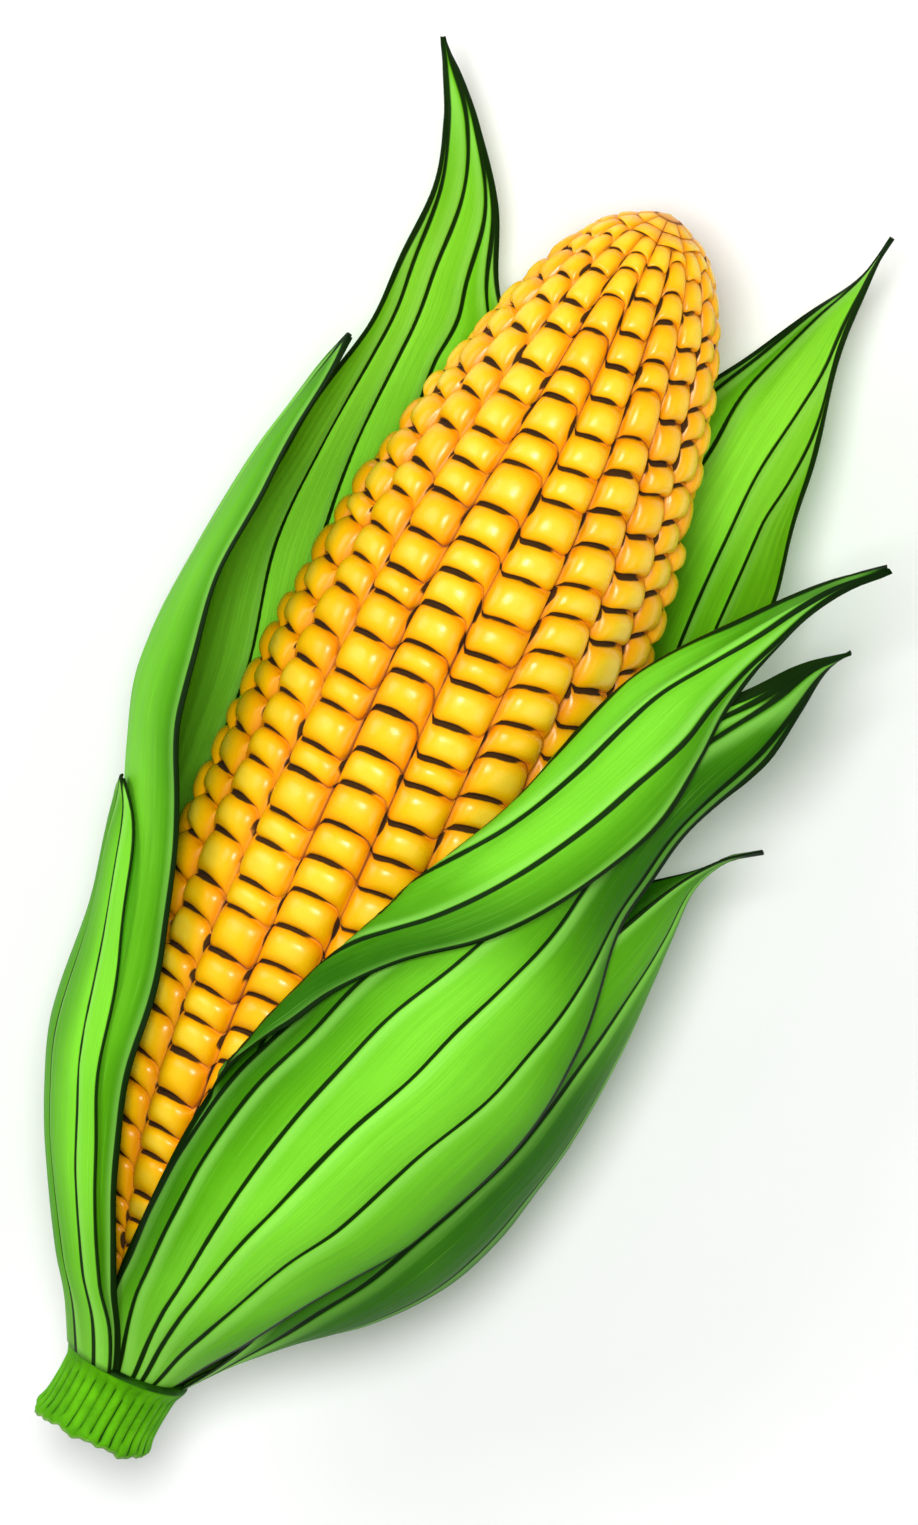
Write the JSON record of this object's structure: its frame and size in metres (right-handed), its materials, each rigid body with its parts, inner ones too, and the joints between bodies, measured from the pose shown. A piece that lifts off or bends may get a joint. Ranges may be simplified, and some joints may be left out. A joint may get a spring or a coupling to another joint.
{
  "type": "corn cob in its husk",
  "caption": "Ear of sweetcorn lying on its back, its green husk leaves opened at the front to show the kernels, with a short cut stem.",
  "frame": {"origin": "middle of the flat patch of the underside leaf on which the ear rests, level with the middle of its length", "axes": "+Z up, away from the surface the ear lies on; +Y along the ear from the cut stem to the tip; +X to the right seen from above with +Y up"},
  "size_m": [0.0909, 0.2005, 0.0691],
  "materials": {
    "kernels": "plump, moist, softly glossy",
    "stem": "fresh green fibre, ribbed, pale at the cut",
    "husk_inner": "smooth, pale green, finely veined",
    "husk_outer": "satin green with raised parallel veins"
  },
  "bodies": {
    "root": {"cob": "kernels", "stem": "stem", "husk_folded": "husk_inner", "husk_back_right": "husk_inner", "husk_back_left": "husk_inner", "husk_outer_right": "husk_outer", "husk_front_right": "husk_outer", "husk_front_left": "husk_outer", "husk_outer_left": "husk_outer", "husk_underside": "husk_outer"}
  },
  "joints": []
}
